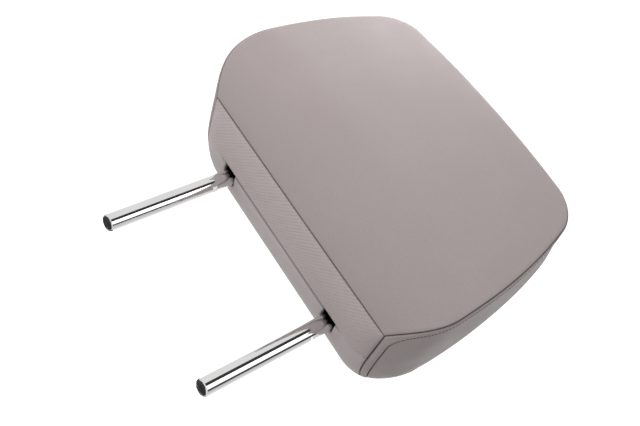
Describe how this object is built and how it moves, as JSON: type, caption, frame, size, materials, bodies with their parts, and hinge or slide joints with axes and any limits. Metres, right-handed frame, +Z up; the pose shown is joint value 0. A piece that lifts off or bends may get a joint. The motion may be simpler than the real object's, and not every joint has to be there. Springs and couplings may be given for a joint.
{
  "type": "seat head restraint",
  "caption": "Padded, trimmed seat head restraint that tilts forward on the cross bar of a bent-tube frame whose plated posts plug into a seat back.",
  "frame": {"origin": "midway between the two post axes, level with the pad's underside where the posts leave it", "axes": "+Z up along the posts; -Y is the face the head rests on; +X to the right of someone looking at that face"},
  "size_m": [0.2834, 0.139, 0.313],
  "materials": {
    "plated_steel": "bright plated",
    "spring_steel": "plain",
    "screw_steel": "zinc plated",
    "bush_plastic": "natural acetal",
    "carrier_plastic": "moulded",
    "guide_plastic": "moulded",
    "clip_plastic": "extruded",
    "foam": "moulded foam skin",
    "leatherette": "fine grain, satin",
    "twill": "ribbed stretch twill"
  },
  "bodies": {
    "frame": {"post_frame": "plated_steel", "locating_ring_left": "spring_steel", "locating_ring_right": "spring_steel"},
    "pad": {"pivot_bush_left": "bush_plastic", "pivot_bush_right": "bush_plastic", "clamp_cap_left": "carrier_plastic", "clamp_cap_right": "carrier_plastic", "friction_spring_left": "spring_steel", "friction_spring_right": "spring_steel", "clamp_screws": "screw_steel", "core_screws": "screw_steel", "core_front_shell": "carrier_plastic", "core_rear_shell": "carrier_plastic", "slot_guide_left": "guide_plastic", "slot_guide_right": "guide_plastic", "front_foam": "foam", "rear_foam": "foam", "cover_front_panel": "leatherette", "cover_side_band": "leatherette", "cover_rear_panel": "leatherette", "cover_rear_flap": "leatherette", "cover_front_flap": "twill", "closure_clip_front": "clip_plastic", "closure_clip_rear": "clip_plastic"}
  },
  "joints": [
    {"name": "pad_tilt", "type": "hinge", "parent": "frame", "child": "pad", "pos_m": [0, 0, 0.058], "axis": [1, 0, 0], "range_deg": [0, 7]}
  ]
}
